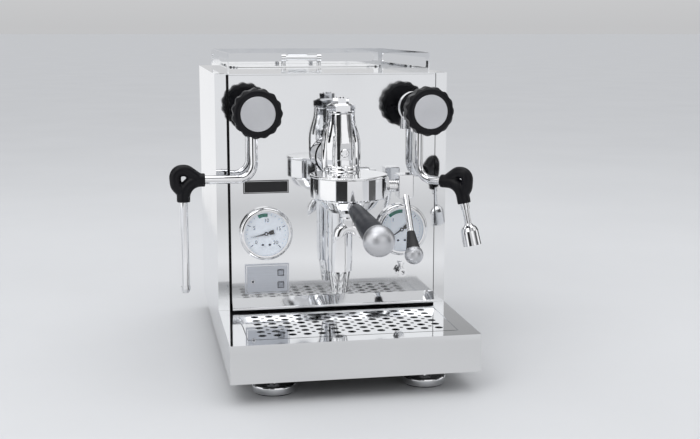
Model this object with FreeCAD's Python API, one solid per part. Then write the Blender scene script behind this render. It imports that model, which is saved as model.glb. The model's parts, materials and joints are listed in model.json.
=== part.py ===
import FreeCAD, Part
import math
import os

# Espresso machine with a lever brew group, a steam wand and a hot water wand.
# Millimetres. x runs to the right, y from front to back, z up from the table.
# While the pieces are drawn, y = 0 is the face of the casing's front flanges.
# On export everything is shifted so that the origin is midway between the feet.

V = FreeCAD.Vector
X = V(1, 0, 0)
Y = V(0, 1, 0)
Z = V(0, 0, 1)

# ---------------------------------------------------------------- sizes
# Overall
BODY_WIDTH = 280.0
BODY_DEPTH = 307.0
BODY_HEIGHT = 327.0
SHEET = 1.5
SEAT_GAP = 0.3
RUN_GAP = 0.08

# Feet
FOOT_HEIGHT = 24.0
FOOT_RADIUS = 25.0
FOOT_EDGE = 7.8
FOOT_ROUND = 3.2
FOOT_INSET_X = 53.0
FRONT_FOOT_Y = -110.0
REAR_FOOT_INSET = 42.0
PAD_THICKNESS = 1.5

# Casing and front panel
FLANGE_WIDTH = 13.3
FLANGE_RETURN = 8.0
PANEL_SEAM = 2.6
PANEL_PROUD = 6.6
LIP_REACH = 8.0
LIP_HEIGHT = 12.0
LIP_GAP = 4.0
HEM_RADIUS = 1.8
BULKHEAD_Y = 16.0

# Cup rail
RAIL_HEIGHT = 23.5
RAIL_INSET = 17.0
RAIL_FRONT = 18.6
RAIL_BACK_INSET = 6.0
RAIL_STRIP_TOP = 6.5
RAIL_STRIP_LOW = 5.0
RAIL_POST = 11.0
RAIL_BRIDGE = 26.0

# Drip tray and grate
TRAY_HEIGHT = 43.5
TRAY_REACH = 160.5
BASIN_REAR = 60.0
RIM_SIDE = 22.0
RIM_FRONT = 22.2
RIM_REAR = 25.4
GRATE_EDGE = 1.6
GRATE_SEAT = 1.5
HOLE_PITCH = 16.8
HOLE_RADIUS = 4.6
SMALL_HOLE_RADIUS = 2.3
HOLE_ROWS = 6
HOLE_COLUMNS = 13

# Water tank and its lid
TANK_HALF_WIDTH = 100.0
TANK_DEPTH = 80.0
TANK_WALL = 2.5
TANK_REAR_INSET = 15.0
TANK_SHELF_Z = 120.0
TANK_TOP_DROP = 13.0
LID_BAR_HALF = 28.0
LID_BAR_HEIGHT = 11.0
LID_BAR_RADIUS = 3.2

# Valves and knobs
VALVE_INSET_X = 41.5
VALVE_DROP = 41.1
KNOB_RADIUS = 28.5
KNOB_LOBES = 15
KNOB_LOBE_DEPTH = 1.7
KNOB_FRONT = 86.0
KNOB_THICKNESS = 22.0
DISC_RADIUS = 19.5
SPINDLE_RADIUS = 4.0
VALVE_BODY_RADIUS = 13.0
OUTLET_Y = 30.0
BALL_DROP = 18.4
BALL_RADIUS = 8.0
SOCKET_RADIUS = 12.0
SOCKET_HALF = 9.0

# Wands
PIPE_RADIUS = 5.0
PIPE_BORE = 3.6
BEND_RADIUS = 18.0
ELBOW_RADIUS = 20.0
STEAM_REACH = 81.5
STEAM_ARM_DROP = 79.1
STEAM_TIP_CLEARANCE = 31.0
STEAM_SWIVEL = 180.0
WATER_REACH = 56.5
WATER_ARM_DROP = 83.9
WATER_LEAN = 13.0
WATER_TUBE = 49.0
WATER_SWIVEL = -44.0
GRIP_LENGTH = 25.0
GRIP_RADIUS = 7.8
LOOP_RADIUS = 6.8
NOZZLE_RADIUS = 10.8
NOZZLE_LENGTH = 26.0

# Brew group
GROUP_DROP = 110.5
BELL_REACH = 96.4
BELL_WALL = 4.0
BELL_HEIGHT = 23.5
PLATE_THICKNESS = 3.0
TOP_REACH = 48.4
TOP_HEIGHT = 68.0
CHEST_WIDTH = 19.2
CHEST_RISE = 1.5
TAIL_REACH = 36.4
TAIL_RADIUS = 15.5
TAIL_CLEARANCE = 27.0
NOZZLE_TAPER = 27.0
NOZZLE_RING = 9.0
NECK_RADIUS = 22.0
NECK_RISE = 12.0

# Brew lever
CAM_DROP = 20.0
CAM_NUT_X = 50.0
BLOCK_X = 69.0
BLOCK_WIDTH = 18.0
BLOCK_HEIGHT = 28.0
BLOCK_DEPTH = 22.0
LEVER_LENGTH = 90.0
LEVER_LEAN = 35.0
LEVER_BALL_RADIUS = 10.8

# Portafilter
BOWL_RADIUS = 34.8
BOWL_DEPTH = 32.0
EAR_LENGTH = 4.2
RIM_WIDTH = 4.8
HANDLE_REACH = 165.0
HANDLE_DROOP = 5.3
HANDLE_DROP = 19.0
HANDLE_BALL_RADIUS = 16.0
SPOUT_SPREAD = 10.6
SPOUT_DROP = 34.5
SPOUT_RISE = 25.0
SPOUT_ARCH = 10.0
SPOUT_RADIUS = 7.1
SPOUT_WALL = 1.6

# Instruments on the panel
GAUGE_INSET_X = 57.3
GAUGE_RISE = 94.5
BEZEL_RADIUS = 31.8
CASE_RADIUS = 28.0
DIAL_RADIUS = 26.4
DISPLAY_WIDTH = 52.7
DISPLAY_HEIGHT = 35.6
DISPLAY_INSET_X = 58.2
DISPLAY_RISE = 39.1
BUTTON_SIZE = 5.0
BUTTON_TRAVEL = 1.0
BADGE_WIDTH = 54.0
BADGE_HEIGHT = 15.5
BADGE_RISE = 150.4

# Inside
BOILER_RADIUS = 54.0
BOILER_WALL = 2.5
BOILER_FRONT = 48.0
BOILER_TANK_GAP = 14.0
HEATER_END_GAP = 41.0
MOTOR_RADIUS = 38.0
MOTOR_LENGTH = 120.0

# ---------------------------------------------------------------- derived places
HALF = BODY_WIDTH / 2
BASE_Z = FOOT_HEIGHT
BODY_TOP = FOOT_HEIGHT + BODY_HEIGHT
TRAY_TOP = FOOT_HEIGHT + TRAY_HEIGHT
FOOT_X = HALF - FOOT_INSET_X
REAR_FOOT_Y = BODY_DEPTH - REAR_FOOT_INSET
ORIGIN_Y = (FRONT_FOOT_Y + REAR_FOOT_Y) / 2
FLANGE_IN = HALF - FLANGE_WIDTH
BASIN_SHOULDER = GRATE_EDGE + 1.1
PANEL_HALF = FLANGE_IN - PANEL_SEAM
PANEL_Y = -PANEL_PROUD
PANEL_TOP = BODY_TOP - SHEET - 0.2
LIP_BOTTOM = TRAY_TOP + LIP_GAP
LIP_TOP = LIP_BOTTOM + LIP_HEIGHT
SHELF_Z = LIP_BOTTOM + 70.0
VALVE_X = HALF - VALVE_INSET_X
VALVE_Z = BODY_TOP - VALVE_DROP
BALL_Z = VALVE_Z - BALL_DROP
EAR_REACH = BOWL_RADIUS + EAR_LENGTH
BELL_RADIUS = EAR_REACH + BELL_WALL
BASKET_RADIUS = BOWL_RADIUS - RIM_WIDTH
GROUP_Z = BODY_TOP - GROUP_DROP
BELL_Y = PANEL_Y - BELL_REACH
TOP_Y = PANEL_Y - TOP_REACH
TAIL_Y = PANEL_Y - TAIL_REACH
NECK_Z = GROUP_Z + NECK_RISE
BELL_BOTTOM = GROUP_Z - BELL_HEIGHT
CAM_Z = GROUP_Z - CAM_DROP
RIM_Z = GROUP_Z - 9.0
BOWL_BOTTOM = RIM_Z - BOWL_DEPTH
GAUGE_X = HALF - GAUGE_INSET_X
GAUGE_Z = TRAY_TOP + GAUGE_RISE
DISPLAY_X = -(HALF - DISPLAY_INSET_X)
DISPLAY_Z = TRAY_TOP + DISPLAY_RISE
TANK_BACK = BODY_DEPTH - TANK_REAR_INSET
TANK_FRONT = TANK_BACK - TANK_DEPTH
BOILER_Z = NECK_Z - 15.0
BOILER_BACK = TANK_FRONT - BOILER_TANK_GAP


# ---------------------------------------------------------------- helpers
def box(x0, x1, y0, y1, z0, z1):
    """Box between two opposite corners."""
    return Part.makeBox(x1 - x0, y1 - y0, z1 - z0, V(x0, y0, z0))


def rod(radius, start, end):
    """Round bar between two points."""
    run = end - start
    return Part.makeCylinder(radius, run.Length, start, run)


def cone(radius_a, radius_b, start, end):
    """Tapered bar between two points."""
    run = end - start
    return Part.makeCone(radius_a, radius_b, run.Length, start, run)


def ring(outer, inner, start, end):
    """Tube between two points."""
    return rod(outer, start, end).cut(rod(inner, start, end))


def union(shapes):
    """One solid from several that touch or overlap."""
    first = shapes[0]
    return first.multiFuse(shapes[1:]).removeSplitter()


def without(shape, cutters):
    """The shape with every cutter taken away."""
    for cutter in cutters:
        shape = shape.cut(cutter)
    return shape


def turned(profile, centre):
    """Solid of revolution about the vertical line through centre; profile is (radius, z) pairs."""
    points = [V(centre.x + r, centre.y, z) for r, z in profile]
    face = Part.Face(Part.makePolygon(points + points[:1]))
    return face.revolve(centre, Z, 360)


def slab(points, thickness, direction):
    """Flat outline pushed to a thickness."""
    face = Part.Face(Part.makePolygon(points + points[:1]))
    return face.extrude(direction * thickness)


def smooth_slab(points, run):
    """Closed smooth outline pushed along a vector."""
    curve = Part.BSplineCurve()
    curve.interpolate(points, PeriodicFlag=True)
    return Part.Face(Part.Wire(curve.toShape())).extrude(run)


def hexagon(across, start, end):
    """Hexagonal bar between two points."""
    run = end - start
    side = X if abs(run.x) < 1e-6 else Y
    other = run.cross(side).normalize()
    radius = across / 2 / math.cos(math.pi / 6)
    corners = []
    for i in range(6):
        angle = math.radians(60 * i)
        corners.append(start + side * radius * math.cos(angle) + other * radius * math.sin(angle))
    return Part.Face(Part.makePolygon(corners + corners[:1])).extrude(run)


def bent_path(points, radii):
    """Straight runs joined by tangent arcs, one radius per inner point."""
    edges = []
    at = points[0]
    for i, radius in enumerate(radii):
        corner = points[i + 1]
        back = (points[i] - corner).normalize()
        ahead = (points[i + 2] - corner).normalize()
        half_turn = back.getAngle(ahead) / 2
        reach = radius / math.tan(half_turn)
        centre = corner + (back + ahead).normalize() * (radius / math.sin(half_turn))
        start = corner + back * reach
        end = corner + ahead * reach
        middle = centre + (corner - centre).normalize() * radius
        edges.append(Part.makeLine(at, start))
        edges.append(Part.Arc(start, middle, end).toShape())
        at = end
    edges.append(Part.makeLine(at, points[-1]))
    return Part.Wire(edges)


def bent_bar(points, radii, radius):
    """Round bar along a bent path."""
    path = bent_path(points, radii)
    circle = Part.Wire(Part.makeCircle(radius, points[0], points[1] - points[0]))
    return path.makePipeShell([circle], True, False)


def swivelled(shape, side, angle):
    """Turn a wand piece about the vertical line through its ball and carry it to its valve."""
    shape = shape.copy()
    shape.rotate(V(0, 0, 0), Z, angle)
    shape.translate(V(side * VALVE_X, -OUTLET_Y, 0))
    return shape


# ---------------------------------------------------------------- frame and casing
def make_chassis():
    """Floor, side walls, front bulkhead, boiler shelf and tank shelf, welded into one."""
    wall = HALF - SHEET
    inner = wall - SHEET
    floor = box(-wall, wall, FLANGE_RETURN + 0.5, BODY_DEPTH - SHEET, BASE_Z, BASE_Z + SHEET)
    narrow = FLANGE_IN - 1
    apron = box(-narrow, narrow, -TRAY_REACH + 8, FLANGE_RETURN + 0.5, BASE_Z, BASE_Z + SHEET)
    left = box(-wall, -inner, FLANGE_RETURN + 0.5, BODY_DEPTH - SHEET, BASE_Z, SHELF_Z)
    right = box(inner, wall, FLANGE_RETURN + 0.5, BODY_DEPTH - SHEET, BASE_Z, SHELF_Z)
    bulkhead = box(-inner, inner, BULKHEAD_Y, BULKHEAD_Y + 2, LIP_BOTTOM, BODY_TOP - SHEET)
    shelf = box(-inner, inner, BASIN_REAR + 2, BOILER_BACK + 6, SHELF_Z - 2, SHELF_Z)
    web = box(-inner, inner, BULKHEAD_Y, BASIN_REAR + 4, SHELF_Z - 2, SHELF_Z)
    saddles = []
    for y in (BOILER_FRONT + 22, BOILER_BACK - 32):
        block = box(-32, 32, y, y + 5, SHELF_Z - 1, BOILER_Z - BOILER_RADIUS * 0.7)
        saddles.append(block.cut(rod(BOILER_RADIUS + 0.1, V(0, y - 1, BOILER_Z), V(0, y + 6, BOILER_Z))))
    tank_shelf = box(-inner, inner, TANK_FRONT - 2, BODY_DEPTH - SHEET, TANK_SHELF_Z - 2, TANK_SHELF_Z)
    cradle = box(-40, 40, motor_y() - 12, motor_y() + 12, BASE_Z + 1, motor_z() - 20)
    cradle = cradle.cut(rod(MOTOR_RADIUS + 0.1, V(-90, motor_y(), motor_z()), V(90, motor_y(), motor_z())))
    frame = union([floor, apron, left, right, bulkhead, shelf, web, tank_shelf, cradle] + saddles)
    holes = []
    for side in (-1, 1):
        gauge = V(side * GAUGE_X, 0, GAUGE_Z)
        valve = V(side * VALVE_X, 0, VALVE_Z)
        holes.append(rod(CASE_RADIUS + 1.5, gauge, gauge + Y * 30))
        holes.append(rod(VALVE_BODY_RADIUS + 0.5, valve, valve + Y * 30))
    for x in (-14, 14):
        holes.append(rod(8, V(x, 0, NECK_Z), V(x, 30, NECK_Z)))
    return without(frame, holes)


def make_casing():
    """Polished wrap: two sides and a back, with narrow flanges turned in at the front."""
    outer = box(-HALF, HALF, 0, BODY_DEPTH, BASE_Z, BODY_TOP)
    inside = box(-HALF + SHEET, HALF - SHEET, SHEET, BODY_DEPTH - SHEET, BASE_Z - 1, BODY_TOP + 1)
    mouth = box(-FLANGE_IN, FLANGE_IN, -1, SHEET + 1, BASE_Z - 1, BODY_TOP + 1)
    shell = without(outer, [inside, mouth])
    returns = []
    for side in (-1, 1):
        edge = side * FLANGE_IN
        x0, x1 = sorted((edge, edge + side * SHEET))
        returns.append(box(x0, x1, 0, FLANGE_RETURN, BASE_Z, BODY_TOP))
    shell = union([shell] + returns)
    inlet = box(inlet_x() - 24, inlet_x() + 24, BODY_DEPTH - 5, BODY_DEPTH + 5, inlet_z() - 28, inlet_z() + 28)
    slots = []
    for row in range(7):
        z = BODY_TOP - 60 - row * 11
        slots.append(box(-60, 60, BODY_DEPTH - 5, BODY_DEPTH + 5, z, z + 4.5))
    return without(shell, [inlet] + slots)


def make_front_panel():
    """Mirror polished panel, proud of the flanges, its lower edge bent forward into a hemmed lip."""
    low = LIP_TOP
    skin = box(-PANEL_HALF, PANEL_HALF, PANEL_Y, PANEL_Y + SHEET, low, PANEL_TOP)
    profile = [
        V(-PANEL_HALF, PANEL_Y, low),
        V(-PANEL_HALF, PANEL_Y + SHEET, low),
        V(-PANEL_HALF, PANEL_Y + SHEET - LIP_REACH, LIP_BOTTOM),
        V(-PANEL_HALF, PANEL_Y - LIP_REACH, LIP_BOTTOM),
    ]
    hem = V(0, PANEL_Y - LIP_REACH + HEM_RADIUS, LIP_BOTTOM)
    rolled = rod(HEM_RADIUS, hem - X * PANEL_HALF, hem + X * PANEL_HALF)
    lip = union([slab(profile, 2 * PANEL_HALF, X), rolled])
    top = box(-PANEL_HALF, PANEL_HALF, PANEL_Y, FLANGE_RETURN, PANEL_TOP - SHEET, PANEL_TOP)
    sides = []
    for side in (-1, 1):
        x0, x1 = sorted((side * PANEL_HALF, side * (PANEL_HALF - SHEET)))
        sides.append(box(x0, x1, PANEL_Y, BULKHEAD_Y, low, PANEL_TOP))
    panel = union([skin, lip, top] + sides)
    holes = []
    for side in (-1, 1):
        gauge = V(side * GAUGE_X, PANEL_Y - 2, GAUGE_Z)
        valve = V(side * VALVE_X, PANEL_Y - 2, VALVE_Z)
        holes.append(rod(CASE_RADIUS + 0.3, gauge, gauge + Y * 6))
        holes.append(rod(VALVE_BODY_RADIUS + 0.3, valve, valve + Y * 6))
    neck = V(0, PANEL_Y - 2, NECK_Z)
    holes.append(rod(NECK_RADIUS + 1.0, neck, neck + Y * 6))
    spigot = V(GAUGE_X, PANEL_Y - 2, DISPLAY_Z + 3.3)
    holes.append(rod(4.0, spigot, spigot + Y * 6))
    for z in button_heights():
        button = V(button_x(), PANEL_Y - 2, z)
        holes.append(rod(1.8, button, button + Y * 6))
    return without(panel, holes)


def make_top_panel():
    """Cup warming plate with the tank opening at its rear."""
    inner = HALF - SHEET
    plate = box(-inner, inner, FLANGE_RETURN + 0.3, BODY_DEPTH - SHEET, BODY_TOP - SHEET, BODY_TOP)
    front = box(-PANEL_HALF, PANEL_HALF, PANEL_Y, FLANGE_RETURN + 1, BODY_TOP - SHEET, BODY_TOP)
    opening = tank_outline(2.5, BODY_TOP - 5, BODY_TOP + 5)
    return union([plate, front]).cut(opening)


def tank_outline(grow, z0, z1):
    """Upright block over the tank's plan, grown on every side."""
    wide = TANK_HALF_WIDTH + grow
    block = box(-wide, wide, TANK_FRONT - grow, TANK_BACK + grow, z0, z1)
    upright = [e for e in block.Edges if abs(e.tangentAt(e.FirstParameter).z) > 0.9]
    return block.makeFillet(6.0 + grow, upright)


def make_cup_rail():
    """Low fence of sheet round three sides of the top, with long windows."""
    wide = HALF - RAIL_INSET
    back = BODY_DEPTH - RAIL_BACK_INSET
    top = BODY_TOP + RAIL_HEIGHT
    outer = box(-wide, wide, RAIL_FRONT, back, BODY_TOP, top)
    upright = [e for e in outer.Edges
               if abs(e.tangentAt(e.FirstParameter).z) > 0.9 and e.CenterOfMass.y > back - 1]
    outer = outer.makeFillet(4.0, upright)
    inner = box(-wide + SHEET, wide - SHEET, RAIL_FRONT - 5, back - SHEET, BODY_TOP - 1, top + 1)
    fence = outer.cut(inner)
    low = BODY_TOP + RAIL_STRIP_LOW
    high = top - RAIL_STRIP_TOP
    windows = []
    side_window = box(-wide - 5, wide + 5, RAIL_FRONT + RAIL_POST, back - RAIL_POST - 4, low, high)
    edges = [e for e in side_window.Edges if abs(e.tangentAt(e.FirstParameter).x) > 0.9]
    windows.append(side_window.makeFillet(4.5, edges))
    for side in (-1, 1):
        x0, x1 = sorted((side * RAIL_BRIDGE / 2, side * (wide - RAIL_POST)))
        window = box(x0, x1, back - 8, back + 5, low, high)
        edges = [e for e in window.Edges if abs(e.tangentAt(e.FirstParameter).y) > 0.9]
        windows.append(window.makeFillet(4.5, edges))
    return without(fence, windows)


def foot_places():
    """Plan positions of the four feet."""
    return [V(sx * FOOT_X, y, 0) for sx in (-1, 1) for y in (FRONT_FOOT_Y, REAR_FOOT_Y)]


def make_feet():
    """Four turned feet with a rounded shoulder."""
    feet = []
    for place in foot_places():
        shoulder = []
        for k in range(7):
            a = math.radians(15 * k)
            radius = FOOT_RADIUS - FOOT_ROUND * (1 - math.cos(a))
            shoulder.append((radius, FOOT_EDGE + FOOT_ROUND * math.sin(a)))
        profile = [(0, PAD_THICKNESS), (FOOT_RADIUS, PAD_THICKNESS)] + shoulder
        profile += [(9, FOOT_EDGE + FOOT_ROUND), (9, BASE_Z), (0, BASE_Z)]
        feet.append(turned(profile, place))
    return Part.makeCompound(feet)


def make_foot_pads():
    """Rubber discs under the feet."""
    pads = [rod(FOOT_RADIUS - 2, place, place + Z * PAD_THICKNESS) for place in foot_places()]
    return Part.makeCompound(pads)


# ---------------------------------------------------------------- drip tray
def make_drip_tray():
    """Front cover, side covers, rim and basin in one sheet metal piece that slides forward."""
    front = -TRAY_REACH
    skirt_low = BASE_Z + 0.3
    rear = -SEAT_GAP
    rim = box(-HALF, HALF, front, rear, TRAY_TOP - SHEET, TRAY_TOP)
    face = box(-HALF, HALF, front, front + SHEET, skirt_low, TRAY_TOP)
    left = box(-HALF, -HALF + SHEET, front, rear, skirt_low, TRAY_TOP)
    right = box(HALF - SHEET, HALF, front, rear, skirt_low, TRAY_TOP)
    wide = basin_half()
    low = BASE_Z + SHEET + SEAT_GAP
    basin = box(-wide, wide, front + RIM_FRONT - BASIN_SHOULDER, BASIN_REAR, low, TRAY_TOP - SHEET)
    inner = wide - BASIN_SHOULDER - GRATE_SEAT
    hollow = box(-inner, inner, front + RIM_FRONT + GRATE_SEAT, BASIN_REAR - SHEET, low + SHEET, TRAY_TOP + 1)
    opening = grate_block(GRATE_EDGE, TRAY_TOP - SHEET - 0.01, TRAY_TOP + 1)
    rear_wall = -RIM_REAR - GRATE_SEAT
    ledge = box(-wide, wide, rear_wall, -RIM_REAR + BASIN_SHOULDER, TRAY_TOP - 7, TRAY_TOP - SHEET)
    tray = union([rim, face, left, right]).cut(opening)
    basin = basin.cut(hollow)
    return union([tray, basin, ledge])


def basin_half():
    """Half width of the basin's outside."""
    return HALF - RIM_SIDE + BASIN_SHOULDER


def grate_block(grow, z0, z1):
    """Block over the grate's plan."""
    wide = HALF - RIM_SIDE + grow
    return box(-wide, wide, -TRAY_REACH + RIM_FRONT - grow, -RIM_REAR + grow, z0, z1)


def make_drip_grate():
    """Perforated plate: large holes on a square grid and small ones between them."""
    plate = grate_block(0, TRAY_TOP - SHEET, TRAY_TOP)
    middle = (-TRAY_REACH + RIM_FRONT - RIM_REAR) / 2
    cutters = []
    for i in range(HOLE_COLUMNS):
        x = (i - (HOLE_COLUMNS - 1) / 2) * HOLE_PITCH
        for j in range(HOLE_ROWS):
            y = middle + (j - (HOLE_ROWS - 1) / 2) * HOLE_PITCH
            cutters.append(rod(HOLE_RADIUS, V(x, y, TRAY_TOP - 5), V(x, y, TRAY_TOP + 5)))
            if i < HOLE_COLUMNS - 1 and j < HOLE_ROWS - 1:
                at = V(x + HOLE_PITCH / 2, y + HOLE_PITCH / 2, TRAY_TOP - 5)
                cutters.append(rod(SMALL_HOLE_RADIUS, at, at + Z * 10))
    return plate.cut(Part.makeCompound(cutters))


# ---------------------------------------------------------------- water tank
def make_water_tank():
    """Open topped tank standing on its shelf."""
    low = TANK_SHELF_Z + SEAT_GAP
    top = BODY_TOP - TANK_TOP_DROP
    outer = tank_outline(0, low, top)
    inner = tank_outline(-TANK_WALL, low + TANK_WALL, top + 5)
    return outer.cut(inner)


def lid_handle_y():
    """Where the lid's bar handle stands."""
    return TANK_BACK - 30


def make_tank_lid():
    """Sheet lid over the tank opening with a bar handle between two bosses."""
    base = BODY_TOP + SEAT_GAP
    plate = tank_outline(4.5, base, base + SHEET)
    y = lid_handle_y()
    bar_z = base + LID_BAR_HEIGHT
    pieces = [plate, rod(LID_BAR_RADIUS, V(-LID_BAR_HALF, y, bar_z), V(LID_BAR_HALF, y, bar_z))]
    for side in (-1, 1):
        pieces.append(rod(3.0, V(side * (LID_BAR_HALF - 3), y, base), V(side * (LID_BAR_HALF - 3), y, bar_z)))
        pieces.append(rod(5.0, V(side * (LID_BAR_HALF - 6), y, bar_z), V(side * LID_BAR_HALF, y, bar_z)))
    return union(pieces)


# ---------------------------------------------------------------- inside
def make_boiler():
    """Hollow boiler with a flat rear end and a flange at the front."""
    centre = V(0, BOILER_FRONT, BOILER_Z)
    back = V(0, BOILER_BACK, BOILER_Z)
    shell = rod(BOILER_RADIUS, centre, back)
    hollow = rod(BOILER_RADIUS - BOILER_WALL, centre - Y, back - Y * BOILER_WALL)
    lip = ring(BOILER_RADIUS + 5, BOILER_RADIUS - BOILER_WALL, centre, centre + Y * 4)
    return union([shell.cut(hollow), lip])


def make_heater():
    """End plate with the heating loops inside the boiler and its bolts outside."""
    front = V(0, BOILER_FRONT, BOILER_Z)
    plate = rod(BOILER_RADIUS + 5, front - Y * 4, front)
    pieces = [plate]
    for i in range(8):
        angle = math.radians(22.5 + 45 * i)
        at = front + V(math.cos(angle), 0, math.sin(angle)) * (BOILER_RADIUS + 1)
        pieces.append(hexagon(8, at - Y * 8, at - Y * 3))
    low = V(0, BOILER_FRONT - 1, BOILER_Z - 22)
    for side in (-1, 1):
        start = low + X * side * 24
        run = Y * (BOILER_BACK - HEATER_END_GAP - start.y)
        points = [start, start + run, start + run + Z * 30, start + Z * 30]
        pieces.append(bent_bar(points, [14, 14], 4.0))
    return union(pieces)


def make_boiler_fittings():
    """Safety valve, vacuum valve and fill valve, each screwed onto the boiler."""
    top = BOILER_Z + BOILER_RADIUS
    y = BOILER_FRONT + 60
    safety = union([
        rod(7, V(0, y, top - 1.5), V(0, y, top + 14)),
        hexagon(17, V(0, y, top + 5), V(0, y, top + 12)),
        rod(5, V(0, y, top + 13), V(0, y, top + 24)),
    ])
    vacuum = union([
        rod(5, V(0, y + 40, top - 1.5), V(0, y + 40, top + 10)),
        hexagon(13, V(0, y + 40, top + 4), V(0, y + 40, top + 9)),
    ])
    x = -BOILER_RADIUS
    fill = union([
        rod(6, V(x + 1.5, y, BOILER_Z), V(x - 16, y, BOILER_Z)),
        hexagon(22, V(x - 8, y, BOILER_Z), V(x - 26, y, BOILER_Z)),
        box(x - 48, x - 24, y - 16, y + 16, BOILER_Z - 14, BOILER_Z + 14),
    ])
    shell = rod(BOILER_RADIUS, V(0, BOILER_FRONT, BOILER_Z), V(0, BOILER_BACK, BOILER_Z))
    return Part.makeCompound([piece.cut(shell) for piece in (safety, vacuum, fill)])


def make_heating_pipes():
    """Two pipes that warm the group from the boiler."""
    pipes = []
    for x, z in ((-14, NECK_Z), (14, NECK_Z)):
        start = V(x, BULKHEAD_Y, z)
        end = V(x, BOILER_FRONT - 4, z)
        nut = hexagon(15, end - Y * 8, end)
        pipes.append(union([rod(5, start, end), nut]))
    return Part.makeCompound(pipes)


def motor_y():
    """Depth of the pump motor's axis."""
    return BASIN_REAR + 10 + MOTOR_RADIUS + 22


def motor_z():
    """Height of the pump motor's axis."""
    return BASE_Z + SHEET + 6 + MOTOR_RADIUS


def make_pump():
    """Motor lying across the machine and the rotary pump on its end."""
    left = V(-MOTOR_LENGTH / 2 - 25, motor_y(), motor_z())
    right = left + X * MOTOR_LENGTH
    motor = union([rod(MOTOR_RADIUS, left, right), rod(MOTOR_RADIUS - 12, left - X * 6, left)])
    pump = union([
        rod(22, right, right + X * 42),
        hexagon(20, right + V(22, 0, 18), right + V(22, 0, 34)),
    ])
    return Part.makeCompound([motor, pump])


def make_control_box():
    """Housing of the electronics on the boiler shelf."""
    inner = HALF - 2 * SHEET
    return box(inner - 58, inner - 4, BASIN_REAR + 20, BOILER_BACK - 28, SHELF_Z, SHELF_Z + 78)


def inlet_x():
    """Sideways place of the mains inlet."""
    return HALF - 60


def inlet_z():
    """Height of the mains inlet."""
    return BASE_Z + 48


def make_power_inlet():
    """Mains inlet with an empty socket below and a window for the switch above."""
    x, z, back = inlet_x(), inlet_z(), BODY_DEPTH
    flange = box(x - 27, x + 27, back, back + 2.5, z - 31, z + 31)
    body = box(x - 23.5, x + 23.5, back - 28, back + 0.5, z - 27.5, z + 27.5)
    housing = union([flange, body])
    socket = box(x - 13.5, x + 13.5, back - 15, back + 5, z - 22, z - 2)
    window = box(x - 15, x + 15, back - 22, back + 5, z + 3, z + 25)
    pins = [box(x + dx - 1, x + dx + 1, back - 16, back - 5, z - 12 + dz - 2, z - 12 + dz + 2)
            for dx, dz in ((-7, -3), (7, -3), (0, 3))]
    axle = rod(2.0, V(x - 15.5, back - 8, z + 14), V(x + 15.5, back - 8, z + 14))
    return union([without(housing, [socket, window])] + pins + [axle])


def make_mains_switch():
    """Rocker on its axle, resting pressed in at the bottom."""
    x, z, back = inlet_x(), inlet_z() + 14, BODY_DEPTH
    profile = [V(x - 14, back - 12, z - 10), V(x - 14, back + 2.2, z - 10), V(x - 14, back + 0.2, z),
               V(x - 14, back + 2.2, z + 10), V(x - 14, back - 12, z + 10)]
    rocker = slab(profile, 28, X)
    rocker = rocker.cut(rod(2.0 + RUN_GAP, V(x - 20, back - 8, z), V(x + 20, back - 8, z)))
    rocker.rotate(V(x, back - 8, z), X, 5)
    return rocker


# ---------------------------------------------------------------- brew group
def make_group_body():
    """Cast group: neck through the panel, ribbed upper chamber, trunk, cam chamber and top plate."""
    top = V(0, TOP_Y, 0)
    low = GROUP_Z + PLATE_THICKNESS - 1
    high = GROUP_Z + TOP_HEIGHT
    flank = [(22.2, low), (22.8, low + 14), (22.9, low + 26), (22.4, low + 33), (21.2, low + 39),
             (19.4, low + 45), (17.6, low + 51), (16.3, low + 57), (15.7, high)]
    chamber = turned([(0, low)] + flank + [(0, high)], top)
    proud = turned([(0, low)] + [(r + CHEST_RISE, z) for r, z in flank[:-1]] + [(15.7, high), (0, high)], top)
    chest = proud.common(box(-CHEST_WIDTH / 2, CHEST_WIDTH / 2, TOP_Y - 40, TOP_Y, low, high))
    grooves = []
    for angle in (-160, -20, 90):
        side = V(math.cos(math.radians(angle)), math.sin(math.radians(angle)), 0)
        grooves.append(cone(5.5, 2.75, top + side * 26.2 + Z * (low + 3), top + side * 18.0 + Z * (low + 58)))
    for side in (-1, 1):
        start = V(side * (CHEST_WIDTH / 2 + 1.6), TOP_Y - 21.6, low + 2)
        grooves.append(cone(2.6, 0.6, start, V(side * (CHEST_WIDTH / 2 + 0.4), TOP_Y - 17.6, low + 46)))
    foot = rod(17.5, V(0, TOP_Y - 12, GROUP_Z + 1), V(0, TOP_Y - 12, low + 5))
    neck = rod(NECK_RADIUS, V(0, TOP_Y, NECK_Z), V(0, BULKHEAD_Y - 8, NECK_Z))
    flange = box(-38, 38, BULKHEAD_Y - 8, BULKHEAD_Y, NECK_Z - 32, NECK_Z + 32)
    trunk = rod(TAIL_RADIUS + 1, V(0, TAIL_Y, CAM_Z - 16), V(0, TAIL_Y, NECK_Z))
    cam = rod(14.5, V(0, TAIL_Y, CAM_Z), V(CAM_NUT_X, TAIL_Y, CAM_Z))
    plate = rod(BELL_RADIUS + 0.8, V(0, BELL_Y, GROUP_Z), V(0, BELL_Y, GROUP_Z + PLATE_THICKNESS))
    arm = box(-20, 20, TAIL_Y - 30, TAIL_Y + 8, GROUP_Z, GROUP_Z + PLATE_THICKNESS)
    body = union([without(union([chamber, chest]), grooves), foot, neck, flange, trunk, cam, plate, arm])
    bore = rod(SPINDLE_RADIUS + 1 + RUN_GAP, V(14, TAIL_Y, CAM_Z), V(CAM_NUT_X + 1, TAIL_Y, CAM_Z))
    clear = rod(BELL_RADIUS + 0.3, V(0, BELL_Y, BELL_BOTTOM - 40), V(0, BELL_Y, GROUP_Z))
    return without(body, [bore, clear])


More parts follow.
